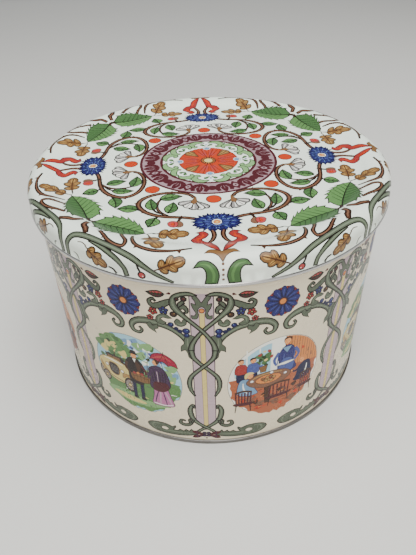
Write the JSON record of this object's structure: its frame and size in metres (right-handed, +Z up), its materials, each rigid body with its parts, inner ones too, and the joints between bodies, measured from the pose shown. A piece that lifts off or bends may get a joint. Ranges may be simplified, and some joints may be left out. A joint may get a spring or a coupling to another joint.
{
  "type": "cookie tin",
  "caption": "Round printed tinplate biscuit drum with a seamed-on bottom, a rolled rim and a push-on lid with a rolled hem.",
  "frame": {"origin": "centre of the flat rim of the bottom seam, on the surface that the tin stands on", "axes": "+Z up along the tin's axis, out of its mouth; +Y towards the side seam, so -Y is the front"},
  "size_m": [0.211, 0.211, 0.1395],
  "materials": {
    "drum_print": "varnished litho print on tinplate",
    "lid_print": "varnished litho print on tinplate",
    "bare_tinplate": "aged bare tinplate"
  },
  "bodies": {
    "drum": {"drum_wall": "drum_print", "drum_bottom": "bare_tinplate"},
    "lid": {"lid": "lid_print"}
  },
  "joints": [
    {"name": "lid_lift", "type": "slide", "parent": "drum", "child": "lid", "axis": [0, 0, 1], "range_m": [0, 0.06]}
  ]
}
